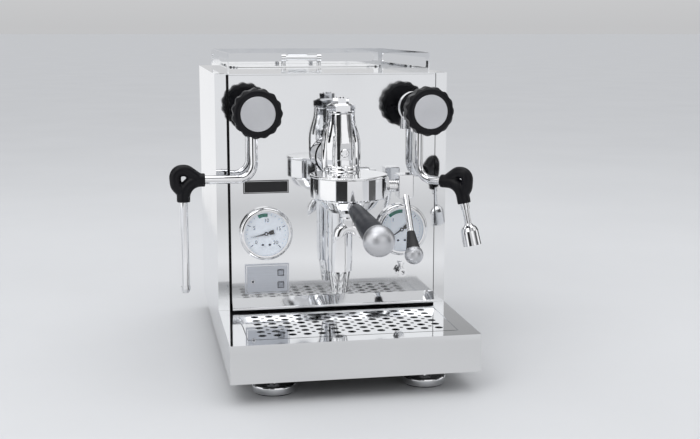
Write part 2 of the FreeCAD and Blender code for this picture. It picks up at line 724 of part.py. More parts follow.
def make_group_bell():
    """Ring that locks the portafilter: a lug channel above an inner lip with two entry gaps."""
    low = BELL_BOTTOM
    centre = V(0, BELL_Y, 0)
    outer = turned([(0, low), (BELL_RADIUS - 1.5, low), (BELL_RADIUS, low + 1.5),
                    (BELL_RADIUS, GROUP_Z), (0, GROUP_Z)], centre)
    throat = rod(BOWL_RADIUS + 1.2, centre + Z * (low - 1), centre + Z * (GROUP_Z + 1))
    channel = rod(EAR_REACH + 1, centre + Z * (low + 5), centre + Z * (RIM_Z + 1))
    bell = without(outer, [throat, channel])
    gaps = box(-EAR_REACH - 1, EAR_REACH + 1, -9, 9, low - 1, low + 6)
    gaps.rotate(V(0, 0, 0), Z, -60)
    gaps.translate(centre)
    return bell.cut(gaps)


def make_group_gasket():
    """Rubber seal ring above the portafilter rim."""
    centre = V(0, BELL_Y, 0)
    return ring(BOWL_RADIUS + 1.2, 28.5, centre + Z * (RIM_Z + SEAT_GAP), centre + Z * GROUP_Z)


def make_shower_screen():
    """Perforated dish that spreads the water over the coffee."""
    centre = V(0, BELL_Y, 0)
    dish = ring(28.5, 27.5, centre + Z * (RIM_Z - 1), centre + Z * GROUP_Z)
    plate = rod(28.5, centre + Z * (RIM_Z - 2.2), centre + Z * (RIM_Z - 1))
    holes = []
    for circle in range(1, 5):
        for i in range(circle * 6):
            a = math.radians(60.0 / circle * i)
            at = centre + V(math.cos(a), math.sin(a), 0) * circle * 5.5
            holes.append(rod(0.9, at + Z * (RIM_Z - 4), at + Z * RIM_Z))
    return union([dish, plate]).cut(Part.makeCompound(holes))


def make_top_nut():
    """Hexagonal cap of the upper chamber with a smaller hexagon on it."""
    low = V(0, TOP_Y, GROUP_Z + TOP_HEIGHT)
    nut = hexagon(29, low + Z * 1.5, low + Z * 10.5)
    z = low.z
    crown = turned([(0, z), (16.9, z), (16.9, z + 7.6), (12.0, z + 10.5), (0, z + 10.5)], V(0, TOP_Y, 0))
    return union([nut.common(crown), rod(16.3, low, low + Z * 1.8), hexagon(16, low + Z * 10, low + Z * 16.5),
                  rod(5, low + Z * 16, low + Z * 18)])


def make_group_screws():
    """Jet screw with a socket on the chest and the plug below it."""
    chest_face = TOP_Y - 22.9 - CHEST_RISE
    screws = []
    for z, radius, y in ((GROUP_Z + 23.5, 4.8, chest_face), (GROUP_Z + 6.0, 3.0, TOP_Y - 29.5)):
        head = rod(radius, V(0, y + 1.5, z), V(0, y - 2, z))
        collar = cone(radius, radius - 0.8, V(0, y - 2, z), V(0, y - 3, z))
        socket = hexagon(radius, V(0, y - 4, z), V(0, y - 0.5, z))
        screws.append(union([head, collar]).cut(socket))
    body = make_group_body()
    return Part.makeCompound([screw.cut(body) for screw in screws])


def make_lower_chamber():
    """Round discharge chamber below the trunk, in two lengths with a groove between."""
    top = V(0, TAIL_Y, CAM_Z - 16)
    ring_top = V(0, TAIL_Y, TRAY_TOP + TAIL_CLEARANCE + NOZZLE_TAPER + NOZZLE_RING)
    groove_z = (top.z + ring_top.z) / 2
    tube = rod(TAIL_RADIUS, ring_top, top)
    groove = ring(TAIL_RADIUS + 2, TAIL_RADIUS - 0.6, V(0, TAIL_Y, groove_z), V(0, TAIL_Y, groove_z + 1))
    return tube.cut(groove)


def make_drain_nozzle():
    """Fluted nozzle that empties over the tray."""
    tip = V(0, TAIL_Y, TRAY_TOP + TAIL_CLEARANCE)
    waist = tip + Z * NOZZLE_TAPER
    shape = union([cone(8.9, 13.3, tip, waist), rod(TAIL_RADIUS - 0.6, waist, waist + Z * NOZZLE_RING)])
    flutes = []
    for i in range(8):
        a = math.radians(45 * i + 22.5)
        side = V(math.cos(a), math.sin(a), 0)
        flutes.append(rod(2.6, tip + side * 10.2 - Z, waist + side * 14.6 - Z * 3))
    bore = rod(5.0, tip - Z, tip + Z * 20)
    return without(shape, flutes + [bore])


# ---------------------------------------------------------------- brew lever
def lever_point(distance):
    """Point on the lever's axis, measured down from the cam axis."""
    a = math.radians(LEVER_LEAN)
    return V(BLOCK_X + BLOCK_WIDTH / 2, TAIL_Y - distance * math.sin(a), CAM_Z - distance * math.cos(a))


def make_cam_nut():
    """Hexagon that closes the cam chamber, with a grooved neck towards the lever."""
    start = V(CAM_NUT_X, TAIL_Y, CAM_Z)
    end = V(BLOCK_X - SEAT_GAP, TAIL_Y, CAM_Z)
    nut = union([hexagon(22, start, start + X * 8), rod(7.2, start, end)])
    grooves = []
    for i in range(3):
        at = start + X * (11 + 2.6 * i)
        grooves.append(ring(9, 6.5, at, at + X * 1.0))
    return without(nut, grooves + [rod(SPINDLE_RADIUS + 1 + RUN_GAP, start - X, end + X)])


def make_cam_shaft():
    """Shaft from the cam chamber to the lever block."""
    return rod(SPINDLE_RADIUS + 1, V(16, TAIL_Y, CAM_Z), V(BLOCK_X, TAIL_Y, CAM_Z))


def make_lever_arm():
    """Square block on the shaft with the lever's rod."""
    half_y = BLOCK_DEPTH / 2
    half_z = BLOCK_HEIGHT / 2
    block = box(BLOCK_X, BLOCK_X + BLOCK_WIDTH, TAIL_Y - half_y, TAIL_Y + half_y, CAM_Z - half_z, CAM_Z + half_z)
    block = block.makeFillet(1.2, block.Edges)
    return union([block, rod(4.0, lever_point(6), lever_point(LEVER_LENGTH - 26))])


def make_lever_collar():
    """Conical collar between the rod and the ball."""
    length = LEVER_LENGTH - 9
    collar = cone(4.6, 8.2, lever_point(length - 20), lever_point(length + 2))
    rod_hole = rod(4.0, lever_point(6), lever_point(LEVER_LENGTH - 26))
    return without(collar, [rod_hole, Part.makeSphere(LEVER_BALL_RADIUS, lever_point(LEVER_LENGTH))])


def make_lever_ball():
    """Ball at the lever's end."""
    return Part.makeSphere(LEVER_BALL_RADIUS, lever_point(LEVER_LENGTH))


# ---------------------------------------------------------------- portafilter
def handle_point(distance):
    """Point on the handle's axis, measured forward from the bowl's axis."""
    a = math.radians(HANDLE_DROOP)
    start = V(0, BELL_Y, RIM_Z - HANDLE_DROP)
    return start + V(0, -math.cos(a), -math.sin(a)) * distance


def make_portafilter():
    """Bowl with two locking ears and the neck that carries the handle."""
    centre = V(0, BELL_Y, 0)
    bowl = turned([(0, BOWL_BOTTOM), (14, BOWL_BOTTOM), (22, BOWL_BOTTOM + 2), (29, BOWL_BOTTOM + 7),
                   (BOWL_RADIUS - 1.5, BOWL_BOTTOM + 13), (BOWL_RADIUS, BOWL_BOTTOM + 15),
                   (BOWL_RADIUS, RIM_Z - 1.2), (0, RIM_Z - 1.2)], centre)
    ears = box(-EAR_REACH, EAR_REACH, -7, 7, BELL_BOTTOM + 5.5, BELL_BOTTOM + 11)
    ears.translate(centre)
    ears = ears.common(rod(EAR_REACH, centre, centre + Z * BODY_TOP))
    neck = rod(7.2, handle_point(BOWL_RADIUS - 8), handle_point(BOWL_RADIUS + 12))
    boss = rod(9.0, V(0, BELL_Y, BOWL_BOTTOM - 4), V(0, BELL_Y, BOWL_BOTTOM + 2))
    body = union([bowl, ears, neck, boss])
    hollow = rod(BASKET_RADIUS + 1.2, centre + Z * (BOWL_BOTTOM + 12), centre + Z * RIM_Z)
    sump = cone(8, BASKET_RADIUS - 4, centre + Z * (BOWL_BOTTOM + 3), centre + Z * (BOWL_BOTTOM + 12.1))
    drain = rod(3.5, centre + Z * (BOWL_BOTTOM - 5), centre + Z * (BOWL_BOTTOM + 5))
    return without(body, [hollow, sump, drain])


def make_filter_basket():
    """Pressed basket hung by its rim in the bowl."""
    centre = V(0, BELL_Y, 0)
    floor = BOWL_BOTTOM + 13.5
    cup = rod(BASKET_RADIUS + 0.6, centre + Z * floor, centre + Z * RIM_Z)
    rim = rod(BOWL_RADIUS, centre + Z * (RIM_Z - 1.2), centre + Z * RIM_Z)
    hollow = rod(BASKET_RADIUS - 0.4, centre + Z * (floor + 1), centre + Z * (RIM_Z + 1))
    holes = []
    for circle in range(1, 4):
        for i in range(circle * 6):
            a = math.radians(60.0 / circle * i)
            at = centre + V(math.cos(a), math.sin(a), 0) * circle * 7
            holes.append(rod(0.7, at + Z * (floor - 2), at + Z * (floor + 3)))
    return union([cup, rim]).cut(hollow).cut(Part.makeCompound(holes))


def make_spout():
    """Double spout: an arch of two bored legs, cut from below so that each ends in a lip."""
    top = BOWL_BOTTOM - 4
    tip = BOWL_BOTTOM - SPOUT_DROP
    crest = tip + SPOUT_RISE - SPOUT_RADIUS
    middle = V(0, BELL_Y, crest)
    shapes = [turned([(0, crest - 3), (7, crest), (9.0, top - 3), (9.0, top), (0, top)], V(0, BELL_Y, 0))]
    bores = [rod(3.5, middle, V(0, BELL_Y, top + 1))]
    for side in (-1, 1):
        corner = middle + X * side * SPOUT_SPREAD
        foot = V(corner.x, BELL_Y, tip)
        shapes.append(bent_bar([middle, corner, foot], [SPOUT_SPREAD - 0.4], SPOUT_RADIUS))
        bores.append(rod(SPOUT_RADIUS - SPOUT_WALL, foot - Z, foot + Z * (SPOUT_ARCH - 1.5)))
    reach = SPOUT_SPREAD + SPOUT_RADIUS
    arch = (reach ** 2 + SPOUT_ARCH ** 2) / (2 * SPOUT_ARCH)
    under = V(0, BELL_Y, tip + SPOUT_ARCH - arch)
    bores.append(rod(arch, under - Y * 2 * SPOUT_RADIUS, under + Y * 2 * SPOUT_RADIUS))
    return without(union(shapes), bores)


def make_handle_grip():
    """Round grip, thicker towards the ball."""
    start = BOWL_RADIUS + 12
    end = HANDLE_REACH - HANDLE_BALL_RADIUS + 3
    grip = union([cone(8.4, 12.4, handle_point(start), handle_point(end - 25)),
                  rod(12.4, handle_point(end - 25), handle_point(end))])
    return grip.cut(Part.makeSphere(HANDLE_BALL_RADIUS, handle_point(HANDLE_REACH)))


def make_handle_ball():
    """Ball at the end of the portafilter handle."""
    return Part.makeSphere(HANDLE_BALL_RADIUS, handle_point(HANDLE_REACH))


# ---------------------------------------------------------------- valves, knobs and wands
def make_valve_bodies():
    """Two valve bodies through the panel, each with a socket below for the wand's ball."""
    bodies = []
    for side in (-1, 1):
        at = V(side * VALVE_X, 0, VALVE_Z)
        stem_end = at - Y * (KNOB_FRONT - KNOB_THICKNESS - 4)
        core = rod(VALVE_BODY_RADIUS, at + Y * (BULKHEAD_Y + 12), at - Y * (OUTLET_Y + 12))
        bonnet = hexagon(20, at - Y * (OUTLET_Y + 12), at - Y * (OUTLET_Y + 20))
        gland = rod(8, at - Y * (OUTLET_Y + 20), stem_end)
        collar = rod(VALVE_BODY_RADIUS + 6, at + Y * PANEL_Y, at + Y * (PANEL_Y - 5))
        ball = V(at.x, -OUTLET_Y, BALL_Z)
        socket = rod(SOCKET_RADIUS, ball - Z * SOCKET_HALF, V(at.x, -OUTLET_Y, VALVE_Z))
        body = union([core, bonnet, gland, collar, socket])
        seat = Part.makeSphere(BALL_RADIUS + RUN_GAP, ball)
        mouth = cone(BALL_RADIUS - 0.4, PIPE_RADIUS + 4.8, ball - Z * 3.5, ball - Z * (SOCKET_HALF + 0.5))
        bore = rod(SPINDLE_RADIUS + RUN_GAP, stem_end - Y, at - Y * (OUTLET_Y - 2))
        bodies.append(without(body, [seat, mouth, bore]))
    return Part.makeCompound(bodies)


def make_knob(side):
    """Lobed rubber ring with a shallow seat for its disc."""
    centre = V(side * VALVE_X, -KNOB_FRONT, VALVE_Z)
    count = KNOB_LOBES * 6
    points = []
    for i in range(count):
        a = 2 * math.pi * i / count
        r = KNOB_RADIUS - KNOB_LOBE_DEPTH / 2 * (1 - math.cos(KNOB_LOBES * a))
        points.append(centre + V(r * math.cos(a), 0, r * math.sin(a)))
    block = smooth_slab(points, Y * KNOB_THICKNESS)
    r, t = KNOB_RADIUS + 1, KNOB_THICKNESS
    outline = [(0, 0), (r - 7, 0), (r - 4.2, 1.0), (r - 2.2, 3.2), (r, 8), (r, t - 6), (r - 2.5, t - 2),
               (r - 6, t), (0, t)]
    spun = [centre + V(a, b, 0) for a, b in outline]
    barrel = Part.Face(Part.makePolygon(spun + spun[:1])).revolve(centre, Y, 360)
    seat = rod(DISC_RADIUS, centre - Y, centre + Y * 2.5)
    bore = rod(SPINDLE_RADIUS, centre, centre + Y * (t + 1))
    return without(block.common(barrel), [seat, bore])


def make_knob_disc(side):
    """Satin disc on the knob's face with the valve spindle behind it."""
    centre = V(side * VALVE_X, -KNOB_FRONT, VALVE_Z)
    disc = rod(DISC_RADIUS - 0.05, centre - Y * 0.6, centre + Y * 2.5)
    front = disc.Edges
    rim = [e for e in front if abs(e.CenterOfMass.y - (centre.y - 0.6)) < 0.01 and len(e.Vertexes) == 1]
    disc = disc.makeFillet(0.5, rim)
    spindle = rod(SPINDLE_RADIUS, centre + Y * 2.4, centre + Y * (KNOB_FRONT - OUTLET_Y))
    return union([disc, spindle])


def make_wand_ball(side):
    """Ball of the wand's joint."""
    ball = Part.makeSphere(BALL_RADIUS, V(side * VALVE_X, -OUTLET_Y, BALL_Z))
    return ball.cut(rod(PIPE_BORE, V(side * VALVE_X, -OUTLET_Y, BALL_Z - 20), V(side * VALVE_X, -OUTLET_Y, BALL_Z)))


def wand_run(reach, arm_drop, lean, length):
    """Corner points of a wand in its own plane, the ball above the origin."""
    arm_z = VALVE_Z - arm_drop
    a = math.radians(lean)
    corner = V(reach, 0, arm_z)
    end = corner + V(math.sin(a), 0, -math.cos(a)) * length
    return [V(0, 0, BALL_Z), V(0, 0, arm_z), corner, end]


def steam_run():
    """Corner points of the steam wand."""
    length = VALVE_Z - STEAM_ARM_DROP - (TRAY_TOP + STEAM_TIP_CLEARANCE) - 8
    return wand_run(STEAM_REACH, STEAM_ARM_DROP, 0, length)


def water_run():
    """Corner points of the hot water wand."""
    return wand_run(WATER_REACH, WATER_ARM_DROP, WATER_LEAN, WATER_TUBE)


def make_pipe(points, thin):
    """Bent tube that starts in a cup round the ball."""
    tube = bent_bar(points, [BEND_RADIUS, ELBOW_RADIUS], PIPE_RADIUS)
    if thin:
        along = (points[3] - points[2]).normalize()
        at = points[2] + along * (ELBOW_RADIUS + 12)
        sleeve = ring(PIPE_RADIUS + 2, PIPE_RADIUS - thin, at, points[3] + along)
        tube = tube.cut(sleeve)
    bore = bent_bar(points, [BEND_RADIUS, ELBOW_RADIUS], PIPE_BORE if not thin else 2.6)
    ball = Part.makeSphere(BALL_RADIUS + 0.05, points[0])
    return without(tube, [bore, ball])


def make_grip(points):
    """Rubber sleeve over the elbow with a finger loop outside it."""
    corner = points[2]
    along = (points[3] - corner).normalize()
    elbow = [corner - X * GRIP_LENGTH, corner, corner + along * GRIP_LENGTH]
    sleeve = bent_bar(elbow, [ELBOW_RADIUS], GRIP_RADIUS)
    loop = [corner + V(u, 0, w) for u, w in ((-18, 1), (-4, 11.5), (9.5, 11.5), (8.5, -6), (1, -15))]
    loop[-1] = corner + along * 15
    handle = bent_bar(loop, [8, 8, 10], LOOP_RADIUS)
    pipe = bent_bar(points, [BEND_RADIUS, ELBOW_RADIUS], PIPE_RADIUS)
    return union([sleeve, handle]).cut(pipe)


def make_steam_tip():
    """Rounded tip with four steam holes."""
    end = steam_run()[3]
    tip = union([rod(PIPE_RADIUS + 0.6, end, end - Z * 3), Part.makeSphere(PIPE_RADIUS + 0.6, end - Z * 3)])
    tip = tip.common(box(end.x - 20, end.x + 20, -20, 20, end.z - 20, end.z))
    holes = [rod(2.0, end + Z, end - Z * 4)]
    for i in range(4):
        a = math.radians(45 + 90 * i)
        start = end - Z * 3
        holes.append(rod(0.8, start, start + V(math.cos(a) * 7, math.sin(a) * 7, -8)))
    return without(tip, holes)


def make_water_nozzle():
    """Bell shaped nozzle, open below."""
    points = water_run()
    end = points[3]
    along = (end - points[2]).normalize()
    outer = [(0, 0), (4.2, 0), (5.0, 2), (8.6, 5), (NOZZLE_RADIUS - 0.6, 9), (NOZZLE_RADIUS, NOZZLE_LENGTH),
             (NOZZLE_RADIUS - 1.5, NOZZLE_LENGTH), (NOZZLE_RADIUS - 2.2, 10), (6.8, 7.2), (3.0, 5.0),
             (2.6, 2), (2.6, 0.5), (0, 0.5)]
    spun = [V(r, 0, -d) for r, d in outer]
    bell = Part.Face(Part.makePolygon(spun + spun[:1])).revolve(V(0, 0, 0), Z, 360)
    bell = bell.cut(rod(2.6, V(0, 0, 1), V(0, 0, -6)))
    tilt = FreeCAD.Rotation(V(0, 0, -1), along)
    bell.Placement = FreeCAD.Placement(end, tilt)
    return bell


# ---------------------------------------------------------------- instruments
def gauge_centre(side):
    """Centre of a gauge on the panel's face."""
    return V(side * GAUGE_X, PANEL_Y, GAUGE_Z)


def make_gauge_cases():
    """Two cases with rounded bezels."""
    cases = []
    for side in (-1, 1):
        c = gauge_centre(side)
        bezel = rod(BEZEL_RADIUS, c - Y * 9, c)
        front = [e for e in bezel.Edges if abs(e.CenterOfMass.y - (c.y - 9)) < 0.01 and len(e.Vertexes) == 1]
        bezel = bezel.makeFillet(4.0, front)
        can = rod(CASE_RADIUS, c, c + Y * 26)
        bush = rod(5, c + Y * 26, c + Y * 34)
        hollow = rod(DIAL_RADIUS + 0.05, c - Y * 10, c + Y * 20)
        cases.append(without(union([bezel, can, bush]), [hollow]))
    return Part.makeCompound(cases)


def make_gauge_dials():
    """Two dial plates, each with the pin that carries its needle."""
    dials = []
    for side in (-1, 1):
        c = gauge_centre(side)
        dials.append(union([rod(DIAL_RADIUS, c - Y * 4, c - Y * 3), rod(0.9, c - Y * 6.4, c - Y * 3.5)]))
    return Part.makeCompound(dials)


def make_gauge_glasses():
    """Two flat windows inside the bezels."""
    glasses = []
    for side in (-1, 1):
        c = gauge_centre(side)
        glasses.append(rod(DIAL_RADIUS, c - Y * 8.2, c - Y * 7.2))
    return Part.makeCompound(glasses)


def make_needle(side, angle):
    """Needle with a broad counterweight, pointing at an angle from the right hand level."""
    c = gauge_centre(side)
    y = c.y - 5.8
    points = [V(20, 0, 0), V(3, 0, 0.9), V(-3, 0, 0.9), V(-4, 0, 2.2), V(-9.5, 0, 2.8), V(-9.5, 0, -2.8),
              V(-4, 0, -2.2), V(-3, 0, -0.9), V(3, 0, -0.9)]
    blade = slab([V(p.x, y, p.z) for p in points], 0.8, Y)
    hub = rod(2.4, V(0, y, 0), V(0, y + 1.2, 0))
    needle = union([blade, hub]).cut(rod(0.9 + RUN_GAP / 2, V(0, y - 3, 0), V(0, y + 4, 0)))
    needle.rotate(V(0, y, 0), Y, -angle)
    needle.translate(V(c.x, 0, c.z))
    return needle


def button_x():
    """Sideways place of the two buttons."""
    return DISPLAY_X + DISPLAY_WIDTH / 2 - 10


def button_heights():
    """Heights of the upper and lower button."""
    return (DISPLAY_Z + 7.0, DISPLAY_Z - 8.0)


def make_display_plate():
    """Plate with a raised frame, two button holes and a small lamp."""
    wide, tall = DISPLAY_WIDTH / 2, DISPLAY_HEIGHT / 2
    x, z = DISPLAY_X, DISPLAY_Z
    plate = box(x - wide, x + wide, PANEL_Y - 2.2, PANEL_Y, z - tall, z + tall)
    recess = box(x - wide + 1.6, x + wide - 1.6, PANEL_Y - 3, PANEL_Y - 1.6, z - tall + 1.6, z + tall - 1.6)
    plate = plate.cut(recess)
    lamp = V(x - wide + 8, PANEL_Y, z - 1)
    plate = union([plate, rod(1.6, lamp - Y * 2.3, lamp - Y * 1.0)])
    holes = []
    half = BUTTON_SIZE / 2 + 0.15
    for height in button_heights():
        at = button_x()
        holes.append(box(at - half, at + half, PANEL_Y - 5, PANEL_Y + 1, height - half, height + half))
    return without(plate, holes)


def make_button(height):
    """Square button on a round stem through the panel."""
    half = BUTTON_SIZE / 2
    x = button_x()
    cap = box(x - half, x + half, PANEL_Y - 2.9, PANEL_Y - BUTTON_TRAVEL - 0.1, height - half, height + half)
    stem = rod(1.5, V(x, PANEL_Y - 2, height), V(x, PANEL_Y + 4, height))
    return union([cap, stem])


def make_badge():
    """Plain dark plate on the panel."""
    x = DISPLAY_X
    z = TRAY_TOP + BADGE_RISE
    return box(x - BADGE_WIDTH / 2, x + BADGE_WIDTH / 2, PANEL_Y - 1.2, PANEL_Y, z - BADGE_HEIGHT / 2, z + BADGE_HEIGHT / 2)


def make_spigot():
    """Small outlet under the right gauge with a bleed screw above it."""
    at = V(GAUGE_X, PANEL_Y, DISPLAY_Z + 3.3)
    body = union([
        rod(7.0, at, at - Y * 2),
        hexagon(12, at - Y * 2, at - Y * 9),
        rod(5.2, at - Y * 9, at - Y * 13),
        rod(3.9, at, at + Y * 12),
        rod(2.0, at - Y * 5.5, at + V(0, -5.5, 9)),
        rod(3.2, at + V(0, -5.5, 9), at + V(0, -5.5, 11.5)),
    ])
    return body.cut(rod(2.6, at - Y * 14, at - Y * 4))


# ---------------------------------------------------------------- every node
def all_nodes():
    """Every node by name."""
    steam, water = steam_run(), water_run()
    upper, lower = button_heights()
    nodes = {
        "chassis": make_chassis(),
        "casing": make_casing(),
        "front_panel": make_front_panel(),
        "top_panel": make_top_panel(),
        "cup_rail": make_cup_rail(),
        "feet": make_feet(),
        "foot_pads": make_foot_pads(),
        "drip_tray": make_drip_tray(),
        "drip_grate": make_drip_grate(),
        "water_tank": make_water_tank(),
        "tank_lid": make_tank_lid(),
        "boiler": make_boiler(),
        "heater": make_heater(),
        "boiler_fittings": make_boiler_fittings(),
        "heating_pipes": make_heating_pipes(),
        "pump_unit": make_pump(),
        "control_box": make_control_box(),
        "power_inlet": make_power_inlet(),
        "mains_switch": make_mains_switch(),
        "group_body": make_group_body(),
        "group_bell": make_group_bell(),
        "group_gasket": make_group_gasket(),
        "shower_screen": make_shower_screen(),
        "group_top_nut": make_top_nut(),
        "group_screws": make_group_screws(),
        "lower_chamber": make_lower_chamber(),
        "drain_nozzle": make_drain_nozzle(),
        "cam_nut": make_cam_nut(),
        "cam_shaft": make_cam_shaft(),
        "lever_arm": make_lever_arm(),
        "lever_collar": make_lever_collar(),
        "lever_ball": make_lever_ball(),
        "portafilter": make_portafilter(),
        "filter_basket": make_filter_basket(),
        "spout": make_spout(),
        "handle_grip": make_handle_grip(),
        "handle_ball": make_handle_ball(),
        "valve_bodies": make_valve_bodies(),
        "steam_knob": make_knob(-1),
        "steam_knob_disc": make_knob_disc(-1),
        "water_knob": make_knob(1),
        "water_knob_disc": make_knob_disc(1),
        "steam_ball": make_wand_ball(-1),
        "steam_pipe": swivelled(make_pipe(steam, 0), -1, STEAM_SWIVEL),
        "steam_grip": swivelled(make_grip(steam), -1, STEAM_SWIVEL),
        "steam_tip": swivelled(make_steam_tip(), -1, STEAM_SWIVEL),
        "water_ball": make_wand_ball(1),
        "water_pipe": swivelled(make_pipe(water, 1.2), 1, WATER_SWIVEL),
        "water_grip": swivelled(make_grip(water), 1, WATER_SWIVEL),
        "water_nozzle": swivelled(make_water_nozzle(), 1, WATER_SWIVEL),
        "gauge_cases": make_gauge_cases(),
        "gauge_dials": make_gauge_dials(),
        "gauge_glasses": make_gauge_glasses(),
        "pump_needle": make_needle(-1, 193),
        "boiler_needle": make_needle(1, 214),
        "display_plate": make_display_plate(),
        "button_upper": make_button(upper),
        "button_lower": make_button(lower),
        "badge_plate": make_badge(),
        "drain_spigot": make_spigot(),
    }
    return nodes


os.makedirs("parts", exist_ok=True)
for name, shape in all_nodes().items():
    shape = shape.copy()
    shape.translate(V(0, -ORIGIN_Y, 0))
    shape.exportStep("parts/" + name + ".step")
    print(name, len(shape.Solids), round(shape.Volume / 1000, 2), "cm3", "" if shape.isValid() else "NOT VALID")
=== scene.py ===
import json
import math
import bpy
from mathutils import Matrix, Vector


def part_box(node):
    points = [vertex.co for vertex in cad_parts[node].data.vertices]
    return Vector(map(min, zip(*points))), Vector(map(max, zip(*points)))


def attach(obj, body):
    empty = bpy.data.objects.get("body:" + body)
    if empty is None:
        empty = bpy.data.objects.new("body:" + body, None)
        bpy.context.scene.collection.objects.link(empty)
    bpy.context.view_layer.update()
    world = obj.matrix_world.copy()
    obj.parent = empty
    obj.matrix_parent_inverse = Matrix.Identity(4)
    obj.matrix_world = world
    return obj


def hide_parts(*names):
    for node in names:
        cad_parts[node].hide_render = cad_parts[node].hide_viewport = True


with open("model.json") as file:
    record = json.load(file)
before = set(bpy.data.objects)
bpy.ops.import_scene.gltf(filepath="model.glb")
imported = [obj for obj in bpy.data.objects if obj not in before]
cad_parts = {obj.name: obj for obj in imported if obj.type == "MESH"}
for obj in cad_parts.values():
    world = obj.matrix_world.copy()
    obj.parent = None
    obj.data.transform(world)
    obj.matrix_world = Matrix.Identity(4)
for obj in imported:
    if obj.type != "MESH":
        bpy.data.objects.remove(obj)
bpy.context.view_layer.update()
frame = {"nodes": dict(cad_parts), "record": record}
record = frame["record"]
nodes = frame["nodes"]


# ---------------------------------------------------------------- camera
CAMERA_PLACE = (-0.23376, -1.44172, 0.40587)
CAMERA_AIM = (0.1810, 0.9696, -0.16465)
CAMERA_LENS = 59.55


def make_camera():
    """Eye level a little above the machine, left of the middle, looking slightly down."""
    data = bpy.data.cameras.new("camera")
    data.lens = CAMERA_LENS
    data.sensor_width = 36.0
    data.clip_end = 60
    camera = bpy.data.objects.new("camera", data)
    bpy.context.scene.collection.objects.link(camera)
    camera.location = CAMERA_PLACE
    camera.rotation_euler = Vector(CAMERA_AIM).to_track_quat("-Z", "Y").to_euler()
    bpy.context.scene.camera = camera


make_camera()


# ---------------------------------------------------------------- materials
class Shader:
    """One node material: a Principled shader with object coordinates for its patterns."""

    def __init__(self, name, colour, roughness, metallic=0.0, **values):
        self.material = bpy.data.materials.new(name)
        self.material.use_nodes = True
        self.material.diffuse_color = (*colour, 1)
        self.tree = self.material.node_tree
        self.bsdf = self.tree.nodes["Principled BSDF"]
        self.bsdf.inputs["Base Color"].default_value = (*colour, 1)
        self.bsdf.inputs["Roughness"].default_value = roughness
        self.bsdf.inputs["Metallic"].default_value = metallic
        for key, value in values.items():
            self.bsdf.inputs[key.replace("_", " ")].default_value = value
        self.coordinates = self.node("ShaderNodeTexCoord").outputs["Object"]
        self.normal = None

    def node(self, kind, **settings):
        made = self.tree.nodes.new(kind)
        for key, value in settings.items():
            setattr(made, key, value)
        return made

    def link(self, start, end):
        self.tree.links.new(start, end)

    def stretched(self, scale):
        """Object coordinates, scaled unevenly so that a pattern runs in lines."""
        mapping = self.node("ShaderNodeMapping")
        mapping.inputs["Scale"].default_value = scale
        self.link(self.coordinates, mapping.inputs["Vector"])
        return mapping.outputs["Vector"]

    def noise(self, size, detail=3.0, scale=(1, 1, 1)):
        """Noise whose features are about size metres across."""
        made = self.node("ShaderNodeTexNoise")
        made.inputs["Scale"].default_value = 1.0 / size
        made.inputs["Detail"].default_value = detail
        made.inputs["Roughness"].default_value = 0.55
        self.link(self.stretched(scale), made.inputs["Vector"])
        return made.outputs["Fac"]

    def mapped(self, value, low, high, start=0.3, end=0.7):
        """The value's stretch from start to end, spread from low to high."""
        made = self.node("ShaderNodeMapRange")
        for key, number in (("From Min", start), ("From Max", end), ("To Min", low), ("To Max", high)):
            made.inputs[key].default_value = number
        self.link(value, made.inputs["Value"])
        return made.outputs["Result"]

    def vary_roughness(self, value, low, high):
        self.link(self.mapped(value, low, high), self.bsdf.inputs["Roughness"])

    def vary_colour(self, value, dark, light):
        mix = self.node("ShaderNodeMix", data_type="RGBA")
        mix.inputs["A"].default_value = (*dark, 1)
        mix.inputs["B"].default_value = (*light, 1)
        self.link(self.mapped(value, 0.0, 1.0), mix.inputs["Factor"])
        self.link(mix.outputs["Result"], self.bsdf.inputs["Base Color"])

    def bump(self, value, strength, height):
        """Relief on top of any relief made before."""
        made = self.node("ShaderNodeBump")
        made.inputs["Strength"].default_value = strength
        made.inputs["Distance"].default_value = height
        self.link(value, made.inputs["Height"])
        if self.normal:
            self.link(self.normal, made.inputs["Normal"])
        self.normal = made.outputs["Normal"]
        self.link(self.normal, self.bsdf.inputs["Normal"])


def shade(colour, factor):
    return tuple(min(1.0, c * factor) for c in colour)


def mirror_steel(name, colour):
    """Mirror polished sheet: faint waves of the sheet, hairline wipe marks."""
    s = Shader(name, colour, 0.06, 1.0)
    hairlines = s.noise(0.0012, 2.0, (1, 1, 0.03))
    smears = s.noise(0.05, 4.0)
    s.vary_roughness(smears, 0.035, 0.085)
    s.vary_colour(s.noise(0.12, 2.0), shade(colour, 0.97), colour)
    s.bump(s.noise(0.09, 1.0), 0.10, 0.0006)
    s.bump(hairlines, 0.012, 0.0002)
    return s.material


def chrome(name, colour):
    """Polished and plated: near perfect mirror with a little casting ripple."""
    s = Shader(name, colour, 0.05, 1.0)
    s.vary_roughness(s.noise(0.02, 4.0), 0.03, 0.08)
    s.vary_colour(s.noise(0.03, 2.0), shade(colour, 0.96), colour)
    s.bump(s.noise(0.012, 2.0), 0.05, 0.0003)
    return s.material


def satin_metal(name, colour, roughness, tarnish=0.9, grain=0.0006):
    """Blasted or plain cast metal: fine grain, slightly uneven colour."""
    s = Shader(name, colour, roughness, 1.0)
    s.vary_roughness(s.noise(0.01, 4.0), roughness - 0.06, roughness + 0.07)
    s.vary_colour(s.noise(0.02, 5.0), shade(colour, tarnish), colour)
    s.bump(s.noise(grain, 3.0), 0.12, 0.00008)
    return s.material


def brushed(name, colour, roughness):
    """Metal brushed along x."""
    s = Shader(name, colour, roughness, 1.0)
    lines = s.noise(0.0007, 3.0, (0.02, 1, 1))
    s.vary_roughness(lines, roughness - 0.08, roughness + 0.08)
    s.vary_colour(lines, shade(colour, 0.9), colour)
    s.bump(lines, 0.10, 0.0001)
    return s.material


